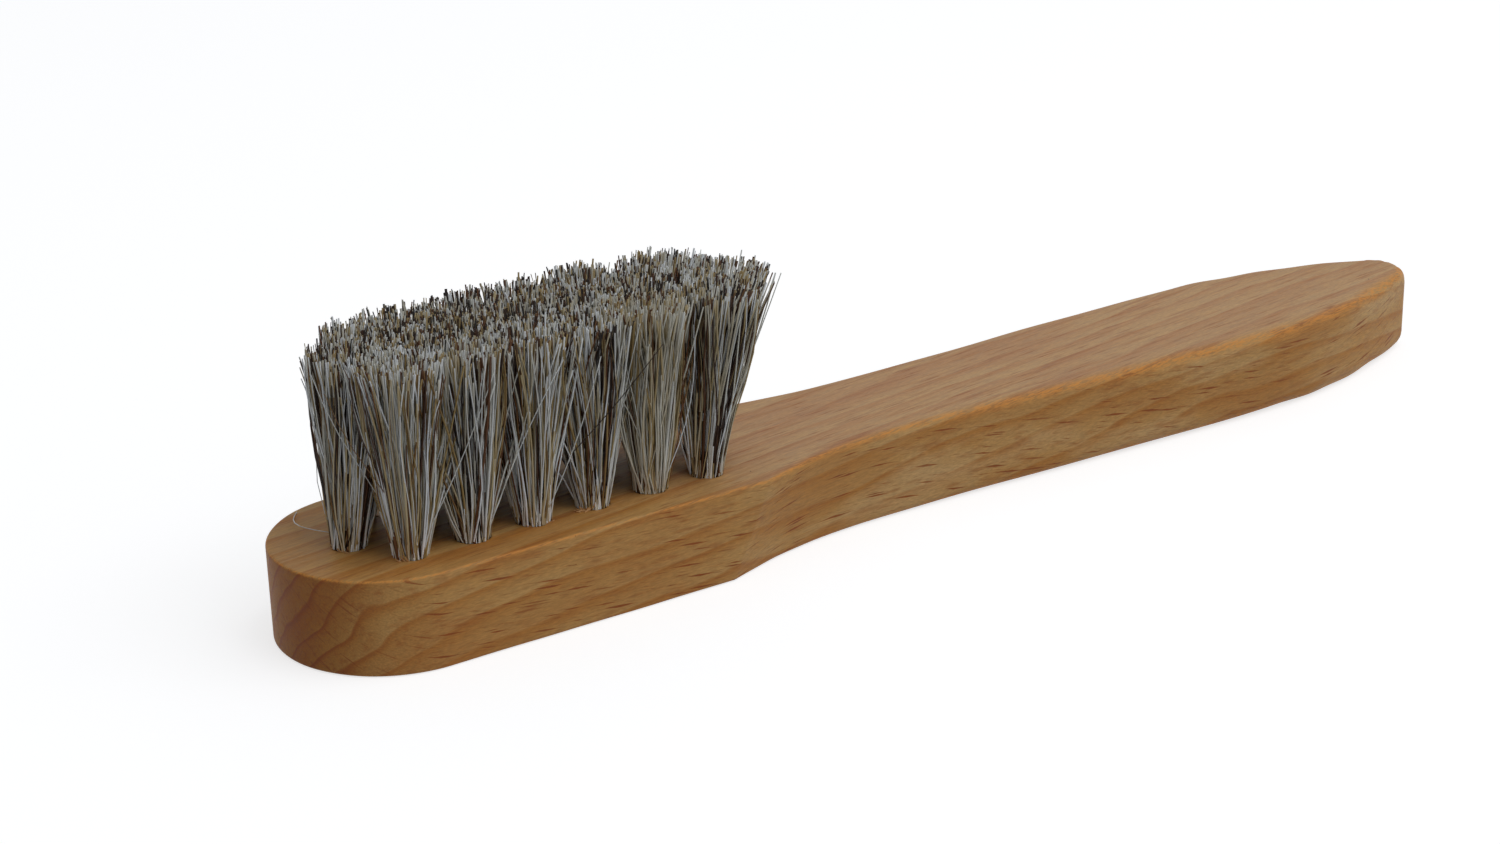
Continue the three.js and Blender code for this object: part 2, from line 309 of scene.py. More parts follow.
def fill_loops(points, loops):
    """Triangles between border loops, given as lists of point numbers, by constrained Delaunay."""
    numbers = np.concatenate(loops)
    ends = np.cumsum([len(loop) for loop in loops])
    following = np.arange(len(numbers)) + 1
    following[ends - 1] = ends - [len(loop) for loop in loops]
    edges = np.stack([np.arange(len(numbers)), following], axis=1).tolist()
    flat = [Vector(p) for p in points[numbers][:, :2]]
    found = delaunay_2d_cdt(flat, edges, [], TRIANGLES_INSIDE, MERGE_DISTANCE)
    first_source = np.array([sources[0] for sources in found[3]])
    return numbers[first_source[np.array(found[2])]]


# %% A piece from arrays
def add_piece(name, points, faces, material, attributes=None):
    """A smooth mesh at the origin that rides on the body, with one number per point in each of its
    attributes."""
    mesh = bpy.data.meshes.new(name)
    mesh.from_pydata(points, [], faces)
    for key, values in (attributes or {}).items():
        mesh.attributes.new(key, "FLOAT", "POINT").data.foreach_set("value", np.ravel(values))
    mesh.shade_smooth()
    mesh.materials.append(material)
    piece = bpy.data.objects.new(name, mesh)
    scene.collection.objects.link(piece)
    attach(piece, BODY)
    print(name, len(mesh.vertices), "points,", len(mesh.loops) - 2 * len(mesh.polygons), "triangles")
    return piece


# %% [markdown]
# ## Materials
#
# Every material is procedural. One function turns a colour as it is written, in sRGB, into the linear
# numbers that a shader takes, and one adds a node with its settings and links. Node groups could be
# saved and shared instead, but lines of code show every number in place.

# %% Helpers for materials
# Sockets of a Mix node for colours: its share, the colour below, the one above, and the result.
SHARE, BELOW, ABOVE, MIXED = 0, 6, 7, 2


def linear(hex_colour):
    """An sRGB hex colour as linear RGBA. A channel is divided by 12.92 below the knee of the sRGB
    curve, and above it is raised to the power of 2.4."""
    srgb = np.array([int(hex_colour[i : i + 2], 16) for i in (1, 3, 5)]) / 255
    raised = ((srgb + 0.055) / 1.055) ** 2.4
    return (*np.where(srgb <= 0.04045, srgb / 12.92, raised), 1.0)


def new_tree(material_or_world):
    """The empty node tree of a material or a world."""
    material_or_world.use_nodes = True
    material_or_world.node_tree.nodes.clear()
    return material_or_world.node_tree


def node(tree, kind, inputs, **settings):
    """Adds one shader node. Each input takes a number, a socket, or another node's first output. Other
    functions get it as add, with the tree filled in."""
    made = tree.nodes.new("ShaderNode" + kind)
    for name, value in settings.items():
        setattr(made, name, value)
    for name, value in inputs.items():
        if isinstance(value, bpy.types.Node):
            value = value.outputs[0]
        if isinstance(value, bpy.types.NodeSocket):
            tree.links.new(value, made.inputs[name])
        else:
            made.inputs[name].default_value = value
    return made


def new_material(name):
    """A new material, and the node function with the material's tree filled in."""
    material = bpy.data.materials.new(name)
    return material, partial(node, new_tree(material))


def set_ramp(ramp_node, stops):
    """Puts the (place, hex colour) stops on a colour ramp."""
    elements = ramp_node.color_ramp.elements
    for place, colour in stops[1:-1]:
        elements.new(place)
    for element, (place, colour) in zip(elements, stops):
        element.position = place
        element.color = linear(colour)


def spans(value, taken=(0, 1), given=(0, 1)):
    """The inputs of a Map Range: its value, the span that it takes, and the span that it gives."""
    names = ("Value", "From Min", "From Max", "To Min", "To Max")
    return dict(zip(names, (value, *taken, *given)))


# %% [markdown]
# ## Waxed beech
#
# Beech has a plain grain of rings 2 to 3 mm wide, with a darker line where each year ends, and it is
# full of rays: thin upright ribbons of tissue that run out from the heart of the tree. Where a sawn
# face cuts them they show as short dark spindles, and on the end grain as thin lines across the
# rings. An image would only paint the surface. A solid pattern in the wood's own axes gives the
# spindles, the ring lines and the end grain together, and they meet properly at every edge.

# %% The wood's own axes
RING_NORMAL = np.array([-0.112, 0.744, 0.658])
GRAIN_GUESS = np.array([1.0, 0.138, 0.014])


def wood_axes():
    """The grain is made square to the rings' normal, and the third axis is square to both."""
    ring = RING_NORMAL / np.linalg.norm(RING_NORMAL)
    grain = GRAIN_GUESS - ring * (GRAIN_GUESS @ ring)
    grain = grain / np.linalg.norm(grain)
    return grain, ring, np.cross(grain, ring)


GRAIN, RING, FLAT = wood_axes()
print("grain runs along", np.round(GRAIN, 3), "and the rings face", np.round(RING, 3))


# %% Wood coordinates in millimetres
def wood_place(add):
    """The Object coordinates in millimetres, measured along the grain, across the rings and along
    the rings, by three dot products."""
    place = add("TexCoord", {}).outputs["Object"]
    mm = add("VectorMath", {0: place, "Scale": 1 / MM}, operation="SCALE")
    parts = {}
    for i, axis in enumerate((GRAIN, RING, FLAT)):
        dot = add("VectorMath", {0: mm, 1: axis}, operation="DOT_PRODUCT")
        parts[i] = dot.outputs["Value"]
    return add("CombineXYZ", parts)


def stretched(add, place, sizes):
    """A place divided by three sizes, so that a texture of scale 1 has features of those sizes."""
    shrink = tuple(1 / size for size in sizes)
    return add("VectorMath", {0: place, 1: shrink}, operation="MULTIPLY")


def fibres(add, place, sizes, detail):
    """Noise with features of three sizes, such as fibres drawn out along the grain."""
    return add("TexNoise", {"Vector": stretched(add, place, sizes), "Scale": 1, "Detail": detail})


# %% Growth rings
RING_WIDTH_MM = 2.7
HEART_DISTANCE_MM = 75
RING_WANDER = 0.8
RING_WANDER_MM = (45, 6, 9)
RING_LINE_STOPS = [(0.74, "#000000"), (0.94, "#ffffff"), (1.0, "#000000")]
RING_STOPS = [(0.0, "#bd9257"), (0.55, "#b8894c"), (0.9, "#b07838"), (1.0, "#b68549")]


def growth_rings(add, wood):
    """The ring number is the distance from the tree's heart over the ring width, moved about by
    slow noise. Its fraction runs from the pale spring wood to the warmer wood of late summer. Returns
    the colour, and a narrow line where each year ends."""
    wood_parts = add("SeparateXYZ", {0: wood}).outputs
    from_heart = add("Math", {0: wood_parts["Y"], 1: HEART_DISTANCE_MM}, operation="ADD")
    across = add("CombineXYZ", {0: from_heart, 1: wood_parts["Z"]})
    distance = add("VectorMath", {0: across}, operation="LENGTH").outputs["Value"]
    slow = fibres(add, wood, RING_WANDER_MM, detail=2)
    turns = add("Math", {0: distance, 1: RING_WIDTH_MM}, operation="DIVIDE")
    moved = add("Math", {0: slow, 1: 2 * RING_WANDER, 2: turns}, operation="MULTIPLY_ADD")
    share = add("Math", {0: moved}, operation="FRACT")
    ramp = add("ValToRGB", {"Fac": share})
    set_ramp(ramp, RING_STOPS)
    line = add("ValToRGB", {"Fac": share})
    set_ramp(line, RING_LINE_STOPS)
    return ramp, line


# %% [markdown]
# ### Layers of colour
#
# Over the rings lie clouds, a painted sheen on the face of the grip, grain lines, ray flecks and
# specks. They could be one long chain of nodes. Instead each function gives its layers, as pairs of a
# share and a colour, and a loop lays one over the other. They depend on how the surface was cut, and
# on how near the grip is.

# %% How a surface lies in the wood
GRIP_STARTS_MM = (-50, -25)
END_GRAIN_FACING = (0.25, 0.95)


def surface_lie(add, wood):
    """How squarely the surface faces along the grain, by the size of a dot product, the share of end
    grain that this gives, how far it faces up, and how far the grip has begun."""
    normal = add("TexCoord", {}).outputs["Normal"]
    along = add("VectorMath", {0: normal, 1: GRAIN}, operation="DOT_PRODUCT").outputs["Value"]
    facing = add("Math", {0: along}, operation="ABSOLUTE")
    end_share = add("MapRange", spans(facing, END_GRAIN_FACING))
    upward = add("SeparateXYZ", {0: normal}).outputs["Z"]
    place = add("SeparateXYZ", {0: wood}).outputs["X"]
    on_grip = add("MapRange", spans(place, GRIP_STARTS_MM))
    return facing, end_share, upward, on_grip


# %% Clouds and painted sheen
CLOUD_SIZE_MM = (30, 7, 7)
WARM_COLOUR, WARM_CLOUDS, WARM_MOST = "#a86e32", (0.45, 0.7), 0.6
PALE_COLOUR, PALE_CLOUDS, PALE_MOST = "#c6a270", (0.5, 0.32), 0.7
# Painted sheen: a paler, greyer colour on the face of the grip, in place of the sky's reflection.
PAINTED_SHEEN_COLOUR, PAINTED_SHEEN_MOST = "#b8a08c", 0.25
SIDE_FACING = (0.7, 0.2)
FACE_FACING = (0.7, 1.0)


def clouds_and_sheen(add, wood, upward, on_grip):
    """Warm clouds all over, pale ones on the sides of the grip, and a painted sheen on the face of the
    grip: a paler, greyer colour in place of the sky's reflection there. The last two shares are
    products."""
    clouds = fibres(add, wood, CLOUD_SIZE_MM, detail=3)
    warm = add("MapRange", spans(clouds, WARM_CLOUDS, (0, WARM_MOST)))
    clear = add("MapRange", spans(clouds, PALE_CLOUDS))
    on_side = add("MapRange", spans(upward, SIDE_FACING, (0, PALE_MOST)))
    on_face = add("MapRange", spans(upward, FACE_FACING, (0, PAINTED_SHEEN_MOST)))
    side_clouds = add("Math", {0: clear, 1: on_side}, operation="MULTIPLY")
    pale = add("Math", {0: side_clouds, 1: on_grip}, operation="MULTIPLY")
    painted_sheen = add("Math", {0: on_face, 1: on_grip}, operation="MULTIPLY")
    return [(warm, WARM_COLOUR), (pale, PALE_COLOUR), (painted_sheen, PAINTED_SHEEN_COLOUR)]


# %% Grain lines
STREAK_SIZE_MM = (10, 0.7, 0.7)
YEAR_STREAKS = (0.42, 0.62)
FREE_STREAKS = (0.52, 0.72)
LINE_MOST = 0.45
END_LINE_MOST = 0.8
RING_LINE_COLOUR = "#93511f"


def grain_lines(add, wood, ring_line, end_share):
    """A year's line shows where a streak along the grain runs through it, and all round on the end
    grain. The strongest streaks also show by themselves. The larger share counts."""
    streaks = fibres(add, wood, STREAK_SIZE_MM, detail=2)
    streaky = add("MapRange", spans(streaks, YEAR_STREAKS, (0, LINE_MOST)))
    end_lines = add("Math", {0: end_share, 1: END_LINE_MOST}, operation="MULTIPLY")
    strength = add("Math", {0: streaky, 1: end_lines}, operation="MAXIMUM")
    year_line = add("Math", {0: strength, 1: ring_line}, operation="MULTIPLY")
    stroke = add("MapRange", spans(streaks, FREE_STREAKS, (0, LINE_MOST)))
    lined = add("Math", {0: year_line, 1: stroke}, operation="MAXIMUM")
    return [(lined, RING_LINE_COLOUR)]


# %% One kind of ray
RAY_BEND_MM = (1.5, 0.5, 0.16)
RAY_BEND_SIZE_MM = (2.5, 1.2, 1.2)
FLECK_EDGE = (0.42, 0.22)
FLECK_CHANCE = (0, 0.5)


def ray_flecks(add, wood, sizes):
    """Cells as long, deep and thin as a ray, moved about by fine noise so that none has a straight
    edge. A fleck is the middle of a cell, where the sum of the three distances is small, so it tapers
    to a point at both ends. Each cell has its own strength."""
    noise = fibres(add, wood, RAY_BEND_SIZE_MM, detail=2)
    moves = {0: noise.outputs["Color"], 1: RAY_BEND_MM, 2: wood}
    bent = add("VectorMath", moves, operation="MULTIPLY_ADD")
    place = stretched(add, bent, sizes)
    cells = add("TexVoronoi", {"Vector": place, "Scale": 1}, distance="MANHATTAN")
    from_middle = spans(cells.outputs["Distance"], FLECK_EDGE)
    middle = add("MapRange", from_middle, interpolation_type="SMOOTHSTEP")
    chance = add("SeparateColor", {"Color": cells.outputs["Color"]})
    strength = add("MapRange", spans(chance, FLECK_CHANCE))
    return add("Math", {0: middle, 1: strength}, operation="MULTIPLY")


# %% Rays and specks
BROAD_RAY_MM = (8.5, 7, 0.38)
FINE_RAY_MM = (4, 4, 0.2)
FINE_RAY_SHARE = 0.4
RAY_STRENGTH = (0.95, 0.45)
RAY_COLOUR = "#884415"
SPECK_SPACING_MM = 6
SPECK_RADIUS_MM = 0.13
SPECK_COLOUR = "#3a2413"


def rays_and_specks(add, wood, upward, end_share):
    """Broad and fine flecks, strongest on the sides of the board and weaker on its face and its end
    grain, and a few dark specks, each a small ball in the middle of a cell."""
    broad = ray_flecks(add, wood, BROAD_RAY_MM)
    fine = ray_flecks(add, wood, FINE_RAY_MM)
    rays = add("Math", {0: fine, 1: FINE_RAY_SHARE, 2: broad}, operation="MULTIPLY_ADD")
    dimmed = add("Math", {0: upward, 1: end_share}, operation="MAXIMUM")
    strength = add("MapRange", spans(dimmed, given=RAY_STRENGTH))
    flecked = add("Math", {0: rays, 1: strength}, operation="MULTIPLY")
    cells = add("TexVoronoi", {"Vector": wood, "Scale": 1 / SPECK_SPACING_MM})
    ball = {0: cells.outputs["Distance"], 1: SPECK_RADIUS_MM / SPECK_SPACING_MM}
    specked = add("Math", ball, operation="LESS_THAN")
    return [(flecked, RAY_COLOUR), (specked, SPECK_COLOUR)]


# %% The polished arris, with a painted highlight
RUBBED_AND_LIT_RELIEF = (0.12, 0.36)
RUBBED_AND_LIT_MOST = 0.75
# Colour of the arris: partly real wear, partly a painted highlight, brighter than waxed wood.
BURNISH_AND_HIGHLIGHT_COLOUR = "#d68d3c"


def rubbed_and_lit_arris(add, relief):
    """Hands and cloths polish an arris first, and most where the fibres stand up: the burnishing that
    the mesh carries, times the relief. Its colour is brighter than waxed wood alone, so it is partly a
    painted highlight along the arris."""
    burnish_and_shine = add("Attribute", {}, attribute_name="burnish_and_highlight").outputs["Fac"]
    worn_and_lit = add("MapRange", spans(relief, RUBBED_AND_LIT_RELIEF, (0, RUBBED_AND_LIT_MOST)))
    rubbed_and_lit = add("Math", {0: burnish_and_shine, 1: worn_and_lit}, operation="MULTIPLY")
    return [(rubbed_and_lit, BURNISH_AND_HIGHLIGHT_COLOUR)]


# %% One layer over the other
def lay(add, colour, layers):
    """Mixes each layer's colour over what lies below it, by the layer's share."""
    for share, layer_colour in layers:
        sockets = {SHARE: share, BELOW: colour, ABOVE: linear(layer_colour)}
        colour = add("Mix", sockets, data_type="RGBA").outputs[MIXED]
    return colour


# %% The beech itself
FIBRE_SIZE_MM = (3, 0.2, 0.2)
PORE_SIZE_MM = (0.8, 0.16, 0.16)
NOISE_SPAN = (0.3, 0.7)
FIBRE_LIGHT = (0.87, 1.11)
PORE_LIGHT = (1.08, 0.9)
PORE_RELIEF = -0.5
BEECH_ROUGHNESS = (0.5, 0.66)
BEECH_RELIEF = 0.06 * MM
END_DARK_FACING = (0.6, 1.0)
END_GRAIN_TINT = "#ccaa68"


def waxed_beech():
    """Sanded beech with a rubbed wax finish: a faint shine, IOR 1.5, fibres and pores that lighten and
    darken the colour by a tenth, and end grain that drinks the wax and goes darker."""
    material, add = new_material("waxed_beech")
    wood = wood_place(add)
    rings, ring_line = growth_rings(add, wood)
    facing, end_share, upward, on_grip = surface_lie(add, wood)
    layers = clouds_and_sheen(add, wood, upward, on_grip)
    layers += grain_lines(add, wood, ring_line, end_share)
    layers += rays_and_specks(add, wood, upward, end_share)
    grained = lay(add, rings, layers)

    fine = fibres(add, wood, FIBRE_SIZE_MM, detail=3)
    pores = fibres(add, wood, PORE_SIZE_MM, detail=1)
    fine_light = add("MapRange", spans(fine, NOISE_SPAN, FIBRE_LIGHT))
    pore_light = add("MapRange", spans(pores, NOISE_SPAN, PORE_LIGHT))
    light = add("Math", {0: fine_light, 1: pore_light}, operation="MULTIPLY")
    shaded = add("VectorMath", {0: grained, "Scale": light}, operation="SCALE")
    relief = add("Math", {0: pores, 1: PORE_RELIEF, 2: fine}, operation="MULTIPLY_ADD")
    rubbed_and_lit = lay(add, shaded, rubbed_and_lit_arris(add, relief))
    end_dark = add("MapRange", spans(facing, END_DARK_FACING))
    tint = {SHARE: end_dark, BELOW: rubbed_and_lit, ABOVE: linear(END_GRAIN_TINT)}
    colour = add("Mix", tint, data_type="RGBA", blend_type="MULTIPLY").outputs[MIXED]

    finish = {
        "Base Color": colour,
        "Roughness": add("MapRange", spans(fine, NOISE_SPAN, BEECH_ROUGHNESS)),
        "IOR": 1.5,
        "Specular IOR Level": 0.27,
        "Normal": add("Bump", {"Height": relief, "Strength": 0.35, "Distance": BEECH_RELIEF}),
    }
    add("OutputMaterial", {"Surface": add("BsdfPrincipled", finish)})
    return material


beech = waxed_beech()
print("beech made with", len(beech.node_tree.nodes), "nodes")

# %% [markdown]
# ## The beech handle
#
# The grids now become one mesh: the edge, its underside, the holes with their floors, and the face
# between the edge and the holes. It could be kept as several pieces, but one closed mesh shades
# evenly. The edge carries the share of burnishing and painted highlight that the wood material reads.

# %% Assemble the handle
def handle_mesh():
    """All points in one array, then the quads of each grid, the filled faces, and a floor polygon
    for each hole."""
    rows, columns = edge.shape[:2]
    points = np.vstack([edge.reshape(-1, 3)] + [hole.reshape(-1, 3) for hole in holes])
    hole_rows, sides = holes[0].shape[:2]
    starts = rows * columns + hole_rows * sides * np.arange(len(holes))
    quads = [grid_quads(rows, columns)]
    quads += [grid_quads(hole_rows, sides, start) for start in starts]
    face_loop = (rows - 1) * columns + np.arange(columns)
    mouths = [start + np.arange(sides) for start in starts]
    underside = fill_loops(points, [np.arange(columns)])[:, ::-1]
    face = fill_loops(points, [face_loop, *mouths])
    middle = points[face].mean(axis=1)[:, None, :2]
    in_hole = (np.linalg.norm(middle - all_centres, axis=-1) < HOLE_RADIUS).any(axis=1)
    floors = [(start + (hole_rows - 1) * sides + np.arange(sides)).tolist() for start in starts]
    faces = np.vstack(quads).tolist() + underside.tolist() + face[~in_hole].tolist() + floors
    burnish_and_shine = np.r_[burnish_and_highlight.ravel(), np.zeros(len(points) - burnish_and_highlight.size)]
    return points, faces, burnish_and_shine


points, faces, burnish_and_shine = handle_mesh()
handle = add_piece("beech_board", points, faces, beech, {"burnish_and_highlight": burnish_and_shine})
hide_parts("beech_handle")

# %% [markdown]
# ## Horsehair
#
# The hair is a natural mix from grey horses: mostly pale hairs, with tan, brown and nearly black ones
# among them. Hairs that grew together lie together, so a tuft shows streaks. Blender's own hair curves
# render well but can't be kept as a mesh, so each hair is a thin tube of three sides, which smooth
# shading makes look round.

# %% Hair material
HAIR_STOPS = [
    (0.0, "#17100b"),
    (0.15, "#3a2417"),
    (0.3, "#654024"),
    (0.42, "#9c8455"),
    (0.55, "#b8a67e"),
    (0.7, "#c1bba8"),
    (0.85, "#d2d2c9"),
    (1.0, "#e6e9ea"),
]
PIGMENT_SIZE = 4 * MM
PIGMENT_SHIFT = (-0.08, 0.08)
# Painted light and shade by height: lighter low in the tufts, darker towards the tips.
PAINTED_LIGHT_HEIGHTS = (12 * MM, 35 * MM)
PAINTED_LIGHT_RANGE = (1.2, 0.85)
HAIR_ROUGHNESS = (0.42, 0.58)


def grey_horsehair():
    """Each hair carries its tone as a number from dark to pale. Noise along the hair shifts the tone
    a little, as pigment does, and a hair is smooth, so it has a soft gloss. The colour is painted
    lighter low in the tufts, where they shade each other, and darker towards the tips, where the lamp
    falls: painted light and shade by height."""
    material, add = new_material("grey_horsehair")
    place = add("TexCoord", {}).outputs["Object"]
    tone = add("Attribute", {}, attribute_name="tone").outputs["Fac"]
    pigment = add("TexNoise", {"Vector": place, "Scale": 1 / PIGMENT_SIZE, "Detail": 2})
    shift = add("MapRange", spans(pigment, given=PIGMENT_SHIFT))
    shifted = add("Math", {0: tone, 1: shift}, operation="ADD")
    ramp = add("ValToRGB", {"Fac": shifted})
    set_ramp(ramp, HAIR_STOPS)
    height = add("SeparateXYZ", {0: place}).outputs["Z"]
    painted_light_by_height = add("MapRange", spans(height, PAINTED_LIGHT_HEIGHTS, PAINTED_LIGHT_RANGE))
    finish = {
        "Base Color": add("VectorMath", {0: ramp, "Scale": painted_light_by_height}, operation="SCALE"),
        "Roughness": add("MapRange", spans(pigment, given=HAIR_ROUGHNESS)),
        "IOR": 1.55,
        "Specular IOR Level": 0.2,
    }
    add("OutputMaterial", {"Surface": add("BsdfPrincipled", finish)})
    return material


horsehair = grey_horsehair()
print("hair made with", len(horsehair.node_tree.nodes), "nodes")

# %% Driving dimensions of the hair
HAIR_LENGTH = 23.2 * MM
ROOT_RADIUS = 2.02 * MM
ROOT_DEPTH = 5.6 * MM
ROOT_SQUEEZE = 0.85
TIP_RADIUS = 5.4 * MM
LOCKS_PER_TUFT = 140
HAIRS_PER_LOCK = 4
hair_random = np.random.default_rng(5)
print("hairs in a tuft:", LOCKS_PER_TUFT * HAIRS_PER_LOCK)

# %% Places of the locks, and the tufts that lean
GOLDEN_ANGLE = math.pi * (3 - math.sqrt(5))
RIM_CROWDING = 0.42
END_LEANS_MM = {
    ("middle_row", 0): (2.1, 0),
    ("far_row", 0): (2.6, -1.4),
    ("near_row", -1): (2.6, 0),
    ("middle_row", -1): (4.3, -0.4),
    ("far_row", -1): (3.2, -0.6),
}


def sunflower(count):
    """Points spread over the unit disc, a little closer together near its rim: a power of the share
    out from the middle, turned by the golden angle each time."""
    i = np.arange(count)
    out = ((i + 0.5) / count) ** RIM_CROWDING
    return np.stack([out * np.cos(i * GOLDEN_ANGLE), out * np.sin(i * GOLDEN_ANGLE)], axis=1)


def tuft_lean(row, number):
    """How far a tuft leans at its tips. Only the tufts at the two ends of the field lean."""
    from_end = number - len(centres[row])
    lean = END_LEANS_MM.get((row, number)) or END_LEANS_MM.get((row, from_end)) or (0, 0)
    return np.array(lean) * MM


# %% Where each hair starts and ends
ROOT_JITTER = 0.11
TIP_JITTER, LOCK_JITTER = 0.25 * MM, 0.6 * MM
STRAY_SHARE = 0.11
STRAY_REACH = np.array([3.2, 1.7]) * MM
LEANING_REACH = 0.2


def tuft_ends(lean_out):
    """Roots on a disc that fills the hole, and tips on a wider one that is moved by the lean. Hairs of
    a lock stay together, and strays don't, though they reach less far where a tuft leans. Also returns
    the number of each hair's lock."""
    lock_number = np.repeat(np.arange(LOCKS_PER_TUFT), HAIRS_PER_LOCK)
    lock = sunflower(LOCKS_PER_TUFT)[lock_number]
    spot = lock + hair_random.normal(0, ROOT_JITTER, lock.shape)
    spot /= np.maximum(1, np.linalg.norm(spot, axis=1))[:, None]
    tip = TIP_RADIUS * lock + lean_out + hair_random.normal(0, TIP_JITTER, lock.shape)
    tip += hair_random.normal(0, LOCK_JITTER, (LOCKS_PER_TUFT, 2))[lock_number]
    stray = hair_random.random(len(lock)) < STRAY_SHARE
    reach = STRAY_REACH * (LEANING_REACH if lean_out.any() else 1)
    tip += stray[:, None] * hair_random.normal(0, reach, lock.shape)
    return ROOT_RADIUS * spot, tip, lock_number


# %% How long each hair is
LOCK_TRIM, HAIR_TRIM = 0.28 * MM, 0.14 * MM
SHORT_SHARE, SHORT_BY_MM = 0.08, (0.5, 4)
LONG_SHARE, LONG_BY_MM = 0.008, (0.4, 1.6)


def hair_lengths(lock_number):
    """The trimmed length, a little more or less for each lock and each hair. Some hairs fall well
    short of the brush face, and very few stand out of it."""
    count = len(lock_number)
    length = HAIR_LENGTH + hair_random.normal(0, LOCK_TRIM, LOCKS_PER_TUFT)[lock_number]
    length += hair_random.normal(0, HAIR_TRIM, count)
    length -= (hair_random.random(count) < SHORT_SHARE) * hair_random.uniform(*SHORT_BY_MM, count) * MM
    length += (hair_random.random(count) < LONG_SHARE) * hair_random.uniform(*LONG_BY_MM, count) * MM
    return length


# %% The path of each hair
RING_SHARES = np.linspace(0, 1, 7)
STEEPEST_LEAN = 0.6
LOCK_BOW, HAIR_BOW = 0.45 * MM, 0.35 * MM
LOCK_WAVE, HAIR_WAVE = 0.2 * MM, 0.15 * MM


def sideways(lock_number, lock_size, hair_size):
    """A random sideways move for each hair: one that its lock shares, plus one of its own."""
    shared = hair_random.normal(0, lock_size, (LOCKS_PER_TUFT, 1, 2))[lock_number]
    return shared + hair_random.normal(0, hair_size, (len(lock_number), 1, 2))


def tuft_paths(centre, lean_out, flare):
    """A hair leans out from its root in the hole to its tip, by a power of the share risen. Its height
    is the mean of its length and of the upright side of the right triangle that the lean makes. A
    slight bow is greatest at half its height, and a slighter wave is zero there."""
    root, tip, lock_number = tuft_ends(lean_out)
    length = hair_lengths(lock_number)
    lean = np.minimum(np.linalg.norm(tip - root, axis=1), STEEPEST_LEAN * length)
    height = (length + np.sqrt(length**2 - lean**2)) / 2
    bow = sideways(lock_number, LOCK_BOW, HAIR_BOW)
    wave = sideways(lock_number, LOCK_WAVE, HAIR_WAVE)
    share = RING_SHARES[None, :, None]
    across = root[:, None] + (tip - root)[:, None] * share**flare
    across = across + bow * np.sin(math.pi * share) + wave * np.sin(2 * math.pi * share)
    above = np.dstack([across + centre, THICKNESS + height[:, None] * RING_SHARES])
    fold = np.full(len(root), THICKNESS - ROOT_DEPTH)
    below = np.column_stack([ROOT_SQUEEZE * root + centre, fold])
    return np.concatenate([below[:, None], above], axis=1), lock_number


# %% The tone of each hair
HAIR_KINDS = np.array([0.03, 0.15, 0.28, 0.43, 0.55, 0.72, 0.86, 0.97])
KIND_SHARES = np.array([0.16, 0.11, 0.07, 0.09, 0.09, 0.12, 0.17, 0.19])
LAST_DRAWN = 0.999
LOCK_TONE_SHARE = 0.6
TONE_JITTER = 0.05
CREAM_TONE = 0.57


def hair_kinds(count, bias):
    """Kinds drawn by their shares: a random number, moved by the tuft's bias, is looked up in the
    running total of the shares."""
    drawn = np.clip(hair_random.random(count) + bias, 0, LAST_DRAWN)
    return HAIR_KINDS[np.searchsorted(np.cumsum(KIND_SHARES), drawn)]


def hair_tones(lock_number, bias, cream):
    """A tone for each hair: that of its lock for most of them, and a kind of its own for the rest. In
    a creamy tuft the pale ones are drawn some of the way to cream."""
    count = len(lock_number)
    lock_kind = hair_kinds(LOCKS_PER_TUFT, bias)[lock_number]
    as_lock = hair_random.random(count) < LOCK_TONE_SHARE
    tone = np.where(as_lock, lock_kind, hair_kinds(count, bias))
    tone = np.where(tone > CREAM_TONE, tone + cream * (CREAM_TONE - tone), tone)
    return np.clip(tone + hair_random.normal(0, TONE_JITTER, count), 0, 1)


# %% Tubes round the paths
TUBE_SIDES = 3
SKEW = np.array([0.3, 0.9, 0.3])


def tubes(paths, radii):
    """A ring of points round each point of each path, in the plane square to the path: the point
    plus the radius times cos a along one side vector and sin a along the other. Returns the points
    and the faces, with both ends of each tube closed."""
    hairs, rings = paths.shape[:2]
    along = np.gradient(paths, axis=1)
    along /= np.linalg.norm(along, axis=-1, keepdims=True)
    side = np.cross(along, SKEW)
    side /= np.linalg.norm(side, axis=-1, keepdims=True)
    other = np.cross(along, side)
    turn = np.arange(TUBE_SIDES) * 2 * math.pi / TUBE_SIDES
    ring = np.cos(turn)[:, None] * side[:, :, None] + np.sin(turn)[:, None] * other[:, :, None]
    points = (paths[:, :, None] + radii[:, :, None, None] * ring).reshape(-1, 3)
    starts = np.arange(hairs)[:, None] * rings * TUBE_SIDES
    walls = (starts[:, :, None] + grid_quads(rings, TUBE_SIDES)[None]).reshape(-1, 4)
    roots = (starts + np.arange(TUBE_SIDES)[::-1]).tolist()
    tips = (starts + (rings - 1) * TUBE_SIDES + np.arange(TUBE_SIDES)).tolist()
    return points, walls.tolist() + roots + tips


# %% A place on the bake map for every hair
MAP_COLUMNS = 64
WALL_SHARE = np.array([[0.1, 0.12], [0.8, 0.76]])
ROOT_CAP = np.array([[0.1, 0.02], [0.9, 0.02], [0.5, 0.1]])
TIP_CAP = ROOT_CAP + np.array([0, 0.88])


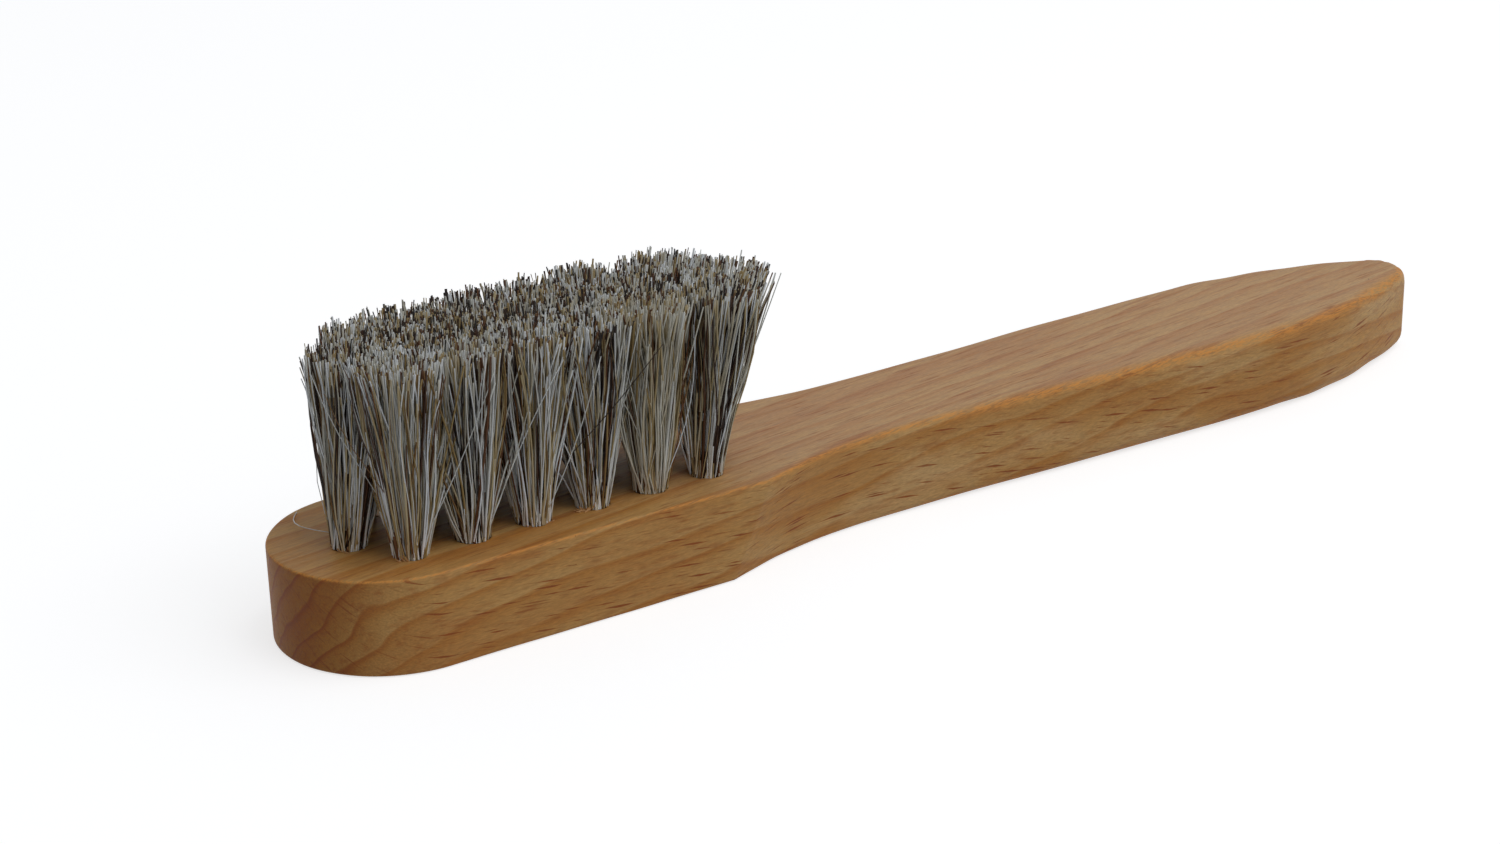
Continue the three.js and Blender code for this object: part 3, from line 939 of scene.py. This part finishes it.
def strip_map(hairs, rings):
    """A map place for each corner of each face. Every hair has a cell of a grid. Its sides lie beside
    each other across the cell and its length runs up it, and its end caps lie below and above."""
    ring, side = np.meshgrid(np.arange(rings - 1), np.arange(TUBE_SIDES), indexing="ij")
    across = np.stack([side, side + 1, side + 1, side], axis=-1) / TUBE_SIDES
    up = np.stack([ring, ring, ring + 1, ring + 1], axis=-1) / (rings - 1)
    wall = WALL_SHARE[0] + WALL_SHARE[1] * np.stack([across, up], axis=-1).reshape(-1, 2)
    hair = np.arange(hairs)
    corner = np.stack([hair % MAP_COLUMNS, hair // MAP_COLUMNS], axis=1)[:, None]
    places = [(corner + face).reshape(-1, 2) for face in (wall, ROOT_CAP, TIP_CAP)]
    return np.concatenate(places) / (MAP_COLUMNS, math.ceil(hairs / MAP_COLUMNS))


# %% Loose hairs that the eye picks out
# Each has its two ends and its bow in millimetres, measured from the tip of the head, and its tone.
LOOSE_HAIRS = {
    "near_row": [
        ((32.5, -11.8, 21), (44.2, -13.4, 32), (0, 0, -0.4), 0.05),
        ((13.3, -8.5, 12), (22.2, -13.2, 33.6), (0.6, 0, 0), 0.9),
        ((22.4, -8.5, 12), (31.2, -13.2, 33.2), (-0.6, -0.4, 0.8), 0.95),
        ((22.0, -8.5, 12), (27.7, -13.2, 33.9), (0.8, -0.4, 0), 0.8),
        ((30.0, -8.5, 12), (36.0, -13.2, 32.3), (0.4, -0.4, 0), 0.9),
        ((46.3, -8.5, 12), (48.8, -13.2, 31.7), (1.2, -0.4, 0), 1.0),
        ((37.3, -8.5, 12), (32.8, -13.2, 31.5), (0, -0.4, 0), 0.95),
    ],
    "middle_row": [
        ((8.2, 11.8, 11.95), (7.8, 2.6, 12.6), (-2.0, 0, 0.2), 0.95),
    ],
    "far_row": [],
}


def loose_paths(row):
    """A straight line from one end to the other, with a bow of half a sine wave added to it."""
    start, end, bow, tone = (np.array(part) for part in zip(*LOOSE_HAIRS[row]))
    share = np.linspace(0, 1, len(RING_SHARES) + 1)[None, :, None]
    line = start[:, None] + (end - start)[:, None] * share
    path = (line + bow[:, None] * np.sin(math.pi * share)) * MM
    return path + np.array([HEAD_TIP_X, 0, 0]), tone


# %% What sets one tuft apart from another
TUFT_BIAS = {
    "near_row": (0.2, 0.1, 0.02, 0.04, 0.27, -0.05),
    "middle_row": (0, -0.1, -0.14, -0.12, -0.1, -0.1, 0.02),
    "far_row": (0, -0.08, -0.12, -0.1, -0.04, 0.04),
}
CREAMY_TUFTS = {("near_row", 1): 0.2, ("near_row", 4): 0.55}
EVEN_FLARE = 1.15
TUFT_FLARE = {("near_row", 3): 1.3, ("near_row", 4): 1.4, ("near_row", 5): 1.5}


def row_paths(row):
    """The paths and tones of all the hairs of a row: its tufts in order, then its loose hairs."""
    paths, tones = [], []
    for number, centre in enumerate(centres[row]):
        flare = TUFT_FLARE.get((row, number), EVEN_FLARE)
        tuft, lock_number = tuft_paths(centre, tuft_lean(row, number), flare)
        paths.append(tuft)
        cream = CREAMY_TUFTS.get((row, number), 0)
        tones.append(hair_tones(lock_number, TUFT_BIAS[row][number], cream))
    if LOOSE_HAIRS[row]:
        loose, tone = loose_paths(row)
        paths.append(loose)
        tones.append(tone)
    return np.concatenate(paths), np.concatenate(tones)


# %% The rows of hair
HAIR_RADIUS = 0.1 * MM
RADIUS_SPREAD = 0.28
LOOSE_THINNESS = 0.65
TIP_THINNING = 0.1


def hair_row(row):
    """All the hairs of a row as one piece, with the tone of each hair on its points. Radii vary by the
    power of e of a random number, and a hair is thinner towards its tip."""
    paths, tones = row_paths(row)
    radius = HAIR_RADIUS * np.exp(hair_random.normal(0, RADIUS_SPREAD, len(paths)))
    radius[len(radius) - len(LOOSE_HAIRS[row]) :] = HAIR_RADIUS * LOOSE_THINNESS
    thinner = 1 - TIP_THINNING * np.r_[0, RING_SHARES]
    points, faces = tubes(paths, radius[:, None] * thinner)
    tone = {"tone": np.repeat(tones, paths.shape[1] * TUBE_SIDES)}
    piece = add_piece(row + "_hair", points, faces, horsehair, tone)
    places = strip_map(*paths.shape[:2])
    piece.data.uv_layers.new(name="OFBake").data.foreach_set("uv", places.ravel())
    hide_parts(row + "_bristles")


for row in ROWS:
    hair_row(row)

# %% [markdown]
# ## Torn fibres round the holes
#
# Where the drill came in it lifted fibres of the beech, and they still stand round the tufts as
# short pale splinters, with three larger chips. They could be drawn into the wood's colour, but they
# catch the light, so they are thin tapered spikes, made with the same tube function as the hair.

# %% Torn beech
TORN_FIBRE_MM = (1.5, 0.1, 0.1)
TORN_STOPS = [(0.3, "#a8733c"), (0.7, "#d6a976")]


def torn_beech():
    """Bare wood without wax: paler and quite dull, with fibres of about 0.1 mm."""
    material, add = new_material("torn_beech")
    ramp = add("ValToRGB", {"Fac": fibres(add, wood_place(add), TORN_FIBRE_MM, detail=2)})
    set_ramp(ramp, TORN_STOPS)
    finish = {"Base Color": ramp, "Roughness": 0.85, "IOR": 1.5}
    add("OutputMaterial", {"Surface": add("BsdfPrincipled", finish)})
    return material


# %% Splinters
SPLINTERS_PER_HOLE = 7
SPLINTER_STEPS = 5
SPLINTER_TURN = 0.5
SPLINTER_LENGTH_MM = (0.3, 1.2)
SPLINTER_RISE_MM = (0.1, 0.45)
SPLINTER_LIFT = 0.02 * MM
CHIP_PLACES = np.array([[35.6, -8.3], [7.4, -1.9], [11.9, -8.6]]) * MM
CHIP_SPLINTERS = (14, 8, 5)
CHIP_SPREAD = 0.3 * MM
CHIP_SCALE = 2
splinter_random = np.random.default_rng(8)


def splinter_paths():
    """Spikes that start on the rim at random angles and run out along the grain, up or down it, while
    they rise by the square of the share run. A chip is a bunch of them at one place, twice as high."""
    rims = np.repeat(all_centres, SPLINTERS_PER_HOLE, axis=0)
    angle = splinter_random.uniform(0, 2 * math.pi, len(rims))
    start = rims + HOLE_RADIUS * np.stack([np.cos(angle), np.sin(angle)], axis=1)
    chips = np.repeat(CHIP_PLACES + [HEAD_TIP_X, 0], CHIP_SPLINTERS, axis=0)
    start = np.vstack([start, chips + splinter_random.normal(0, CHIP_SPREAD, chips.shape)])
    count = len(start)
    turn = splinter_random.normal(0, SPLINTER_TURN, count)
    turn += math.pi * splinter_random.integers(0, 2, count)
    length = splinter_random.uniform(*SPLINTER_LENGTH_MM, count) * MM
    rise = splinter_random.uniform(*SPLINTER_RISE_MM, count) * MM
    rise[-len(chips) :] *= CHIP_SCALE
    share = np.linspace(0, 1, SPLINTER_STEPS)
    x = start[:, :1] + length[:, None] * np.cos(turn)[:, None] * share
    y = start[:, 1:] + length[:, None] * np.sin(turn)[:, None] * share
    z = THICKNESS + rise[:, None] * share**2 + SPLINTER_LIFT
    return np.stack([x, y, z], axis=-1)


# %% The splinters as one piece
SPLINTER_RADIUS_MM = (0.07, 0.14)
SPLINTER_TAPER = np.linspace(1, 0.25, SPLINTER_STEPS)

paths = splinter_paths()
radius = splinter_random.uniform(*SPLINTER_RADIUS_MM, (len(paths), 1)) * MM
radius[-sum(CHIP_SPLINTERS) :] *= CHIP_SCALE
points, faces = tubes(paths, radius * SPLINTER_TAPER)
add_piece("rim_splinters", points, faces, torn_beech())

# %% [markdown]
# ## Staples
#
# A staple is bent from drawn steel wire and driven over the fold of the hair. The CAD staples have
# the right shape and stay as they are, deep in the holes. They could be modelled again with a finer
# bend, but nobody would see it. They only get the look of drawn wire, with faint lines along it.

# %% Drawn steel wire
WIRE_STREAK = (0.1 * MM, 0.1 * MM, MM)
WIRE_STOPS = [(0.3, "#8d8a85"), (0.7, "#b9b6b1")]
WIRE_ROUGHNESS = (0.25, 0.5)


def drawn_steel():
    """Bright drawn wire: a metal with a pale grey colour, and roughness streaked at about 0.1 mm."""
    material, add = new_material("drawn_steel_wire")
    place = add("TexCoord", {}).outputs["Object"]
    streaks = fibres(add, place, WIRE_STREAK, detail=2)
    rough = add("MapRange", spans(streaks, given=WIRE_ROUGHNESS))
    ramp = add("ValToRGB", {"Fac": streaks})
    set_ramp(ramp, WIRE_STOPS)
    finish = {"Base Color": ramp, "Roughness": rough, "Metallic": 1}
    add("OutputMaterial", {"Surface": add("BsdfPrincipled", finish)})
    return material


steel = drawn_steel()
staples = [ob for name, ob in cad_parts.items() if "_staple_" in name]
for staple in staples:
    staple.data.materials.clear()
    staple.data.materials.append(steel)
print("staples finished:", len(staples))

# %% [markdown]
# ## Floor and light
#
# The brush lies on a white floor in soft light from a window side. A floor that is white by its own
# light would lose the shadow, and a truly white one would light the brush from below, so the floor is
# pale grey and matt, and rays that come straight from the camera or from a gloss add the rest of the
# white. The world does the same behind it.

# %% Floor
FLOOR_RADIUS = 3.0
FLOOR_SIDES = 96
FLOOR_LEVEL = -0.05 * MM
FLOOR_COLOUR = "#bdbdbd"
FLOOR_LIFT = 0.69


def seen_directly(add):
    """1 for rays from the camera, from a gloss or through glass, and 0 for rays that carry light."""
    path = add("LightPath", {}).outputs
    rays = {0: path["Is Camera Ray"], 1: path["Is Glossy Ray"]}
    first = add("Math", rays, operation="MAXIMUM")
    return add("Math", {0: first, 1: path["Is Transmission Ray"]}, operation="MAXIMUM")


def white_floor():
    """Matt pale paper, with light of its own that makes it white for rays that see it directly."""
    material, add = new_material("pale_paper_floor")
    matt = add("BsdfDiffuse", {"Color": linear(FLOOR_COLOUR)})
    lift = add("Math", {0: seen_directly(add), 1: FLOOR_LIFT}, operation="MULTIPLY")
    glow = add("Emission", {"Strength": lift})
    both = add("AddShader", {0: matt, 1: glow})
    add("OutputMaterial", {"Surface": both})
    return material


def floor_disc():
    """A flat disc just under the board: one polygon with its points on a circle."""
    angle = np.linspace(0, 2 * math.pi, FLOOR_SIDES, endpoint=False)
    level = np.full(FLOOR_SIDES, FLOOR_LEVEL)
    mesh = bpy.data.meshes.new("floor")
    disc = np.stack([FLOOR_RADIUS * np.cos(angle), FLOOR_RADIUS * np.sin(angle), level], axis=1)
    mesh.from_pydata(disc, [], [list(range(FLOOR_SIDES))])
    mesh.materials.append(white_floor())
    floor = bpy.data.objects.new("floor", mesh)
    scene.collection.objects.link(floor)


floor_disc()
print("floor", 2 * FLOOR_RADIUS, "m across")

# %% World and lamp
SKY_COLOUR = "#f4f8ff"
SKY_LIGHT = 0.44
WINDOW_LIGHT = (0.2, -0.12, 0.0)
LAMP_PLACE = Vector((0.28, -0.42, 0.95))
LAMP_SIZE = 0.8
LAMP_POWER = 3.6


def soft_world():
    """White where it is seen directly. Everything else gets a dimmer light, which grows evenly
    towards the side of the room that has the windows: an even part, plus a dot product."""
    world = bpy.data.worlds.new("soft_room")
    add = partial(node, new_tree(world))
    direction = add("TexCoord", {}).outputs["Object"]
    windows = add("VectorMath", {0: direction, 1: WINDOW_LIGHT}, operation="DOT_PRODUCT")
    strength = add("Math", {0: windows.outputs["Value"], 1: SKY_LIGHT}, operation="ADD")
    sky = add("Background", {"Color": linear(SKY_COLOUR), "Strength": strength})
    white = add("Background", {"Color": linear("#ffffff"), "Strength": 1})
    both = add("MixShader", {0: seen_directly(add), 1: sky, 2: white})
    add("OutputWorld", {"Surface": both})
    scene.world = world


def soft_lamp():
    """One large square lamp, above the near side of the grip, turned to face the brush."""
    data = bpy.data.lights.new("window_light", "AREA")
    data.size = LAMP_SIZE
    data.energy = LAMP_POWER
    lamp = bpy.data.objects.new("window_light", data)
    lamp.location = LAMP_PLACE
    lamp.rotation_euler = LAMP_PLACE.to_track_quat("Z", "Y").to_euler()
    scene.collection.objects.link(lamp)


soft_world()
soft_lamp()
scene.view_settings.view_transform = "Standard"
print("lamp at", [round(c, 2) for c in LAMP_PLACE], "m, sky light", SKY_LIGHT)
